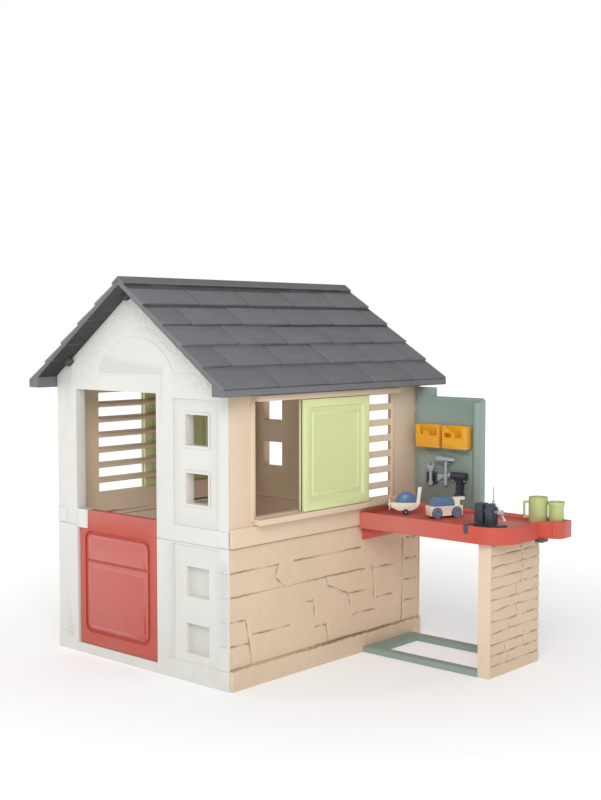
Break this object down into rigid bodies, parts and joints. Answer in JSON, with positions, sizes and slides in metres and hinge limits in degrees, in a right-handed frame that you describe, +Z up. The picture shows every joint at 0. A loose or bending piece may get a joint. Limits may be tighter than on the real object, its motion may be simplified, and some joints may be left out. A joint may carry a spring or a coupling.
{
  "type": "toy playhouse",
  "caption": "Moulded plastic playhouse with a tiled gable roof, a half door, sliding shutters and a workshop bench with a tool panel.",
  "frame": {"origin": "on the ground, under the middle of the whole object", "axes": "+X to the right as seen from the front, from the house to the bench; +Y from the front wall to the rear wall; +Z up"},
  "size_m": [1.521, 1.125, 1.27],
  "materials": {
    "facade_white": "satin moulded plastic, off-white",
    "wall_beige": "satin moulded plastic, warm beige",
    "roof_grey": "matt moulded plastic, dark grey",
    "clip_black": "matt plastic, near black",
    "door_red": "satin moulded plastic, coral red",
    "bench_red": "satin moulded plastic, coral red",
    "shutter_green": "satin moulded plastic, light green",
    "panel_green": "satin moulded plastic, grey-green",
    "bin_amber": "glossy plastic, amber",
    "toy_grey": "glossy plastic, light grey",
    "toy_navy": "glossy plastic, dark navy",
    "toy_cream": "glossy plastic, cream",
    "toy_blue": "glossy plastic, blue",
    "toy_white": "glossy plastic, white",
    "wheel_grey": "satin plastic, blue-grey",
    "cup_green": "glossy plastic, light green",
    "peg_plastic": "plain plastic"
  },
  "bodies": {
    "root": {"front_lower_wall": "facade_white", "front_gable_wall": "facade_white", "rear_lower_wall": "wall_beige", "rear_gable_wall": "wall_beige", "right_lower_wall": "wall_beige", "right_window_wall": "wall_beige", "left_lower_wall": "wall_beige", "left_window_wall": "wall_beige", "right_shutter_rail": "wall_beige", "left_shutter_rail": "wall_beige", "roof_right": "roof_grey", "roof_left": "roof_grey", "ridge_cap": "roof_grey", "roof_clips": "clip_black", "roof_screws": "clip_black", "corner_dowels": "peg_plastic", "belt_dowels": "peg_plastic", "door_bracket": "facade_white", "hinge_pins": "peg_plastic", "worktop": "bench_red", "worktop_bracket": "bench_red", "worktop_clip": "clip_black", "leg_panel": "wall_beige", "base_frame": "panel_green", "tool_panel": "panel_green", "panel_brackets": "panel_green", "bin_left": "bin_amber", "bin_right": "bin_amber", "hammer_head": "toy_grey", "hammer_handle": "toy_grey", "wrench": "toy_grey", "saw_blade": "toy_grey", "saw_handle": "toy_navy", "drill_body": "toy_navy", "truck_chassis": "toy_cream", "truck_cab": "toy_blue", "truck_load": "toy_cream", "plane_hull": "toy_cream", "plane_canopy": "toy_blue", "plane_tail": "toy_white", "vice_base": "toy_navy", "cup_large": "cup_green", "cup_small": "cup_green"},
    "door": {"door": "door_red"},
    "right_shutter": {"right_shutter": "shutter_green"},
    "left_shutter": {"left_shutter": "shutter_green"},
    "truck_front_wheelset": {"truck_front_axle": "toy_grey", "truck_front_wheels": "wheel_grey"},
    "truck_rear_wheelset": {"truck_rear_axle": "toy_grey", "truck_rear_wheels": "wheel_grey"},
    "plane_wheelset": {"plane_axle": "toy_grey", "plane_wheels": "toy_navy"},
    "propeller": {"plane_propeller": "toy_white"},
    "vice_jaw": {"vice_jaw": "toy_navy", "screwdriver": "toy_grey"},
    "vice_screw": {"vice_screw": "toy_grey", "vice_handle": "toy_white"},
    "drill_chuck": {"drill_chuck": "toy_grey"}
  },
  "joints": [
    {"name": "door_hinge", "type": "hinge", "parent": "root", "child": "door", "pos_m": [-0.586, -0.4695, 0.26], "axis": [0, 0, -1], "range_deg": [0, 90]},
    {"name": "right_shutter_slide", "type": "slide", "parent": "root", "child": "right_shutter", "axis": [0, 1, 0], "range_m": [-0.198, 0.155]},
    {"name": "left_shutter_slide", "type": "slide", "parent": "root", "child": "left_shutter", "axis": [0, -1, 0], "range_m": [-0.127, 0.226]},
    {"name": "truck_front_roll", "type": "hinge", "parent": "root", "child": "truck_front_wheelset", "pos_m": [0.35928, 0.25124, 0.4903], "axis": [-0.8988, 0.4384, 0], "continuous": true},
    {"name": "truck_rear_roll", "type": "hinge", "parent": "root", "child": "truck_rear_wheelset", "pos_m": [0.39172, 0.31776, 0.4903], "axis": [-0.8988, 0.4384, 0], "continuous": true},
    {"name": "plane_roll", "type": "hinge", "parent": "root", "child": "plane_wheelset", "pos_m": [0.2355, 0.2545, 0.4833], "axis": [0.6691, -0.7431, 0], "continuous": true},
    {"name": "propeller_spin", "type": "hinge", "parent": "root", "child": "propeller", "pos_m": [0.19834, 0.22104, 0.5063], "axis": [-0.7431, -0.6691, 0], "continuous": true},
    {"name": "vice_jaw_slide", "type": "slide", "parent": "root", "child": "vice_jaw", "axis": [1, 0, 0], "range_m": [-0.0095, 0.0125]},
    {"name": "vice_screw_turn", "type": "hinge", "parent": "vice_jaw", "child": "vice_screw", "pos_m": [0.6485, 0.2025, 0.525], "axis": [1, 0, 0], "range_deg": [-540, 720]},
    {"name": "drill_chuck_spin", "type": "hinge", "parent": "root", "child": "drill_chuck", "pos_m": [0.2955, 0.4355, 0.594], "axis": [1, 0, 0], "continuous": true}
  ],
  "couplings": [
    {"joint": "vice_jaw_slide", "follows": "vice_screw_turn", "m_per_rad": 0.00095493}
  ]
}
